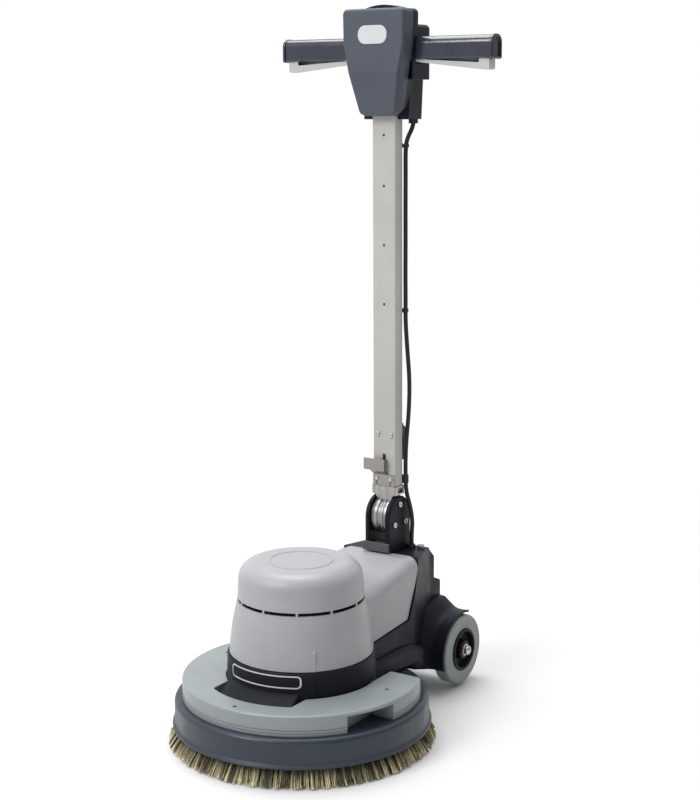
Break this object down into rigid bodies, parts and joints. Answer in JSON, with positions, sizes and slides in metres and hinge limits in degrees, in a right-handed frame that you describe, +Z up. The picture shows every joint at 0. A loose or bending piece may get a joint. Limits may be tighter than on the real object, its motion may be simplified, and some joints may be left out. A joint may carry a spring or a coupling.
{
  "type": "rotary floor machine",
  "caption": "Upright single-disc floor scrubbing machine: round motor base with brush and rear wheels, tilting tube handle with trigger grips.",
  "frame": {"origin": "on the floor, on the axis of the brush", "axes": "+Z up, -Y to the front of the machine, +Y towards the wheels and the operator, +X across"},
  "size_m": [0.444, 0.6255, 1.191],
  "materials": {
    "cover_plastic": "light grey moulded cover, fine texture",
    "chassis_plastic": "dark blue-grey structural moulding, satin",
    "deck_paint": "dark grey powder coat on the pressed deck",
    "weight_paint": "light grey paint on cast iron",
    "tube_paint": "warm light grey powder coat",
    "bright_steel": "zinc plated steel",
    "cast_alloy": "bare die-cast alloy",
    "head_plastic": "dark grey moulded shell",
    "grip_plastic": "near-black moulded grip, glossy",
    "trigger_plastic": "light grey lever",
    "hub_plastic": "black moulded wheel hub",
    "tyre_rubber": "grey-green non-marking rubber",
    "cable_sheath": "black cable sheath",
    "bristle_fibre": "straw coloured scrubbing fibre with darker roots",
    "block_plastic": "moulded brush block",
    "gear_steel": "machined gear steel",
    "core_iron": "stacked electrical steel",
    "copper_winding": "varnished copper",
    "bearing_steel": "ground bearing steel",
    "pad_rubber": "mid-grey rubber pad",
    "badge_plastic": "plain pale badge",
    "inner_plastic": "black inner moulding"
  },
  "bodies": {
    "base": {"deck_ring": "deck_paint", "chassis": "chassis_plastic", "stabiliser_weight": "weight_paint", "base_screws": "bright_steel", "chassis_bolts": "bright_steel", "motor_cover": "cover_plastic", "ear_left": "chassis_plastic", "ear_right": "chassis_plastic", "pivot_drum": "gear_steel", "motor_frame": "cast_alloy", "stator_core": "core_iron", "stator_winding": "copper_winding", "ball_bearings": "bearing_steel", "fan_cowl": "inner_plastic", "gearbox_housing": "cast_alloy", "ring_gear": "gear_steel", "start_gear": "inner_plastic", "base_gland": "cable_sheath", "front_pad": "pad_rubber", "front_badge": "badge_plastic", "axle": "bright_steel", "axle_nuts": "bright_steel", "cable_lower": "cable_sheath"},
    "brush": {"bristle_ring": "bristle_fibre", "brush_block": "block_plastic", "drive_plate": "gear_steel", "output_shaft": "gear_steel", "planet_carrier": "gear_steel"},
    "rotor": {"rotor_shaft": "gear_steel", "rotor_core": "core_iron", "cooling_fan": "inner_plastic"},
    "planet_1": {"planet_gear_1": "gear_steel"},
    "planet_2": {"planet_gear_2": "gear_steel"},
    "planet_3": {"planet_gear_3": "gear_steel"},
    "wheel_left": {"hub_left": "hub_plastic", "tyre_left": "tyre_rubber"},
    "wheel_right": {"hub_right": "hub_plastic", "tyre_right": "tyre_rubber"},
    "handle": {"knuckle": "cast_alloy", "handle_tube": "tube_paint", "tube_screws": "bright_steel", "cord_hook": "inner_plastic", "pawl_spring": "bright_steel", "head_front_cover": "head_plastic", "head_badge": "badge_plastic", "head_rear_shell": "head_plastic", "handlebar": "bright_steel", "grip_left": "grip_plastic", "grip_right": "grip_plastic", "trigger_pivots": "bright_steel", "trigger_switches": "inner_plastic", "head_glands": "inner_plastic", "cable_upper": "cable_sheath", "cable_flex": "cable_sheath", "cable_ties": "inner_plastic"},
    "release": {"release_plate": "bright_steel", "lock_pawl": "gear_steel"},
    "left_trigger": {"trigger_left": "trigger_plastic"},
    "right_trigger": {"trigger_right": "trigger_plastic"},
    "interlock": {"interlock_button": "trigger_plastic"}
  },
  "joints": [
    {"name": "brush_spin", "type": "hinge", "parent": "base", "child": "brush", "pos_m": [0, 0, 0.045], "axis": [0, 0, 1], "continuous": true},
    {"name": "rotor_spin", "type": "hinge", "parent": "base", "child": "rotor", "pos_m": [0, 0, 0.18], "axis": [0, 0, 1], "continuous": true},
    {"name": "planet_1_spin", "type": "hinge", "parent": "brush", "child": "planet_1", "pos_m": [0.03135, 0, 0.099], "axis": [0, 0, 1], "continuous": true},
    {"name": "planet_2_spin", "type": "hinge", "parent": "brush", "child": "planet_2", "pos_m": [-0.01568, 0.02715, 0.099], "axis": [0, 0, 1], "continuous": true},
    {"name": "planet_3_spin", "type": "hinge", "parent": "brush", "child": "planet_3", "pos_m": [-0.01568, -0.02715, 0.099], "axis": [0, 0, 1], "continuous": true},
    {"name": "wheel_left_spin", "type": "hinge", "parent": "base", "child": "wheel_left", "pos_m": [-0.0995, 0.341, 0.068], "axis": [1, 0, 0], "continuous": true},
    {"name": "wheel_right_spin", "type": "hinge", "parent": "base", "child": "wheel_right", "pos_m": [0.0995, 0.341, 0.068], "axis": [1, 0, 0], "continuous": true},
    {"name": "handle_tilt", "type": "hinge", "parent": "base", "child": "handle", "pos_m": [0, 0.267, 0.318], "axis": [-1, 0, 0], "range_deg": [0, 70], "deforming": ["cable_flex"]},
    {"name": "release_lift", "type": "slide", "parent": "handle", "child": "release", "axis": [0, 0, 1], "range_m": [0, 0.008], "stiffness_N_per_m": 300, "springref_m": -0.006, "deforming": ["pawl_spring"]},
    {"name": "left_trigger_squeeze", "type": "hinge", "parent": "handle", "child": "left_trigger", "pos_m": [-0.069, 0.271, 1.106], "axis": [0, 1, 0], "range_deg": [0, 5.5], "stiffness_Nm_per_rad": 0.8, "springref_deg": -5.73},
    {"name": "right_trigger_squeeze", "type": "hinge", "parent": "handle", "child": "right_trigger", "pos_m": [0.069, 0.271, 1.106], "axis": [0, -1, 0], "range_deg": [0, 5.5], "stiffness_Nm_per_rad": 0.8, "springref_deg": -5.73},
    {"name": "interlock_press", "type": "slide", "parent": "handle", "child": "interlock", "axis": [0, -1, 0], "range_m": [0, 0.004], "stiffness_N_per_m": 400, "springref_m": -0.003}
  ],
  "couplings": [
    {"joint": "rotor_spin", "follows": "brush_spin", "ratio": 9.5},
    {"joint": "planet_1_spin", "follows": "brush_spin", "ratio": -2.2667},
    {"joint": "planet_2_spin", "follows": "brush_spin", "ratio": -2.2667},
    {"joint": "planet_3_spin", "follows": "brush_spin", "ratio": -2.2667}
  ]
}
